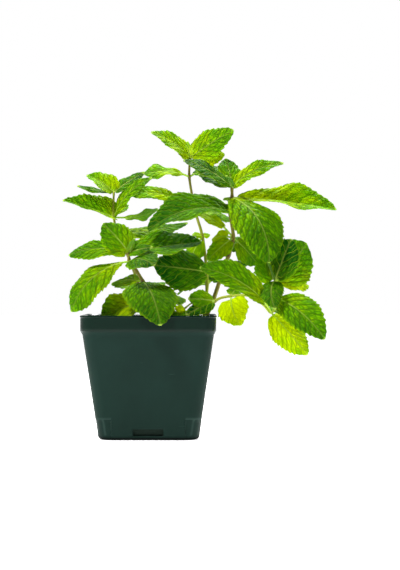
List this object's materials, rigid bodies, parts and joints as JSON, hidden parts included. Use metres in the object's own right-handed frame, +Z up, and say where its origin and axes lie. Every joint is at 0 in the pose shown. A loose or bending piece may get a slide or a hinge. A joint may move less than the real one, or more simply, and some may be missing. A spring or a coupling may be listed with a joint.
{
  "type": "potted mint plant",
  "caption": "Leafy mint plant standing in potting soil in a square tapered nursery pot with a banded rim and drain slots at the foot.",
  "frame": {"origin": "centre of the pot's flat underside", "axes": "+Z up, -Y towards the face that the foliage leans over, +X towards the side that the long leaves reach out to"},
  "size_m": [0.2183, 0.1236, 0.2475],
  "materials": {
    "pot_plastic": "satin",
    "soil": "matte",
    "foliage": "satin"
  },
  "bodies": {
    "root": {"pot": "pot_plastic", "soil": "soil", "back_stem": "foliage", "tall_stem": "foliage", "left_stem": "foliage", "front_stem": "foliage", "arching_stem": "foliage", "low_stem": "foliage"}
  },
  "joints": []
}
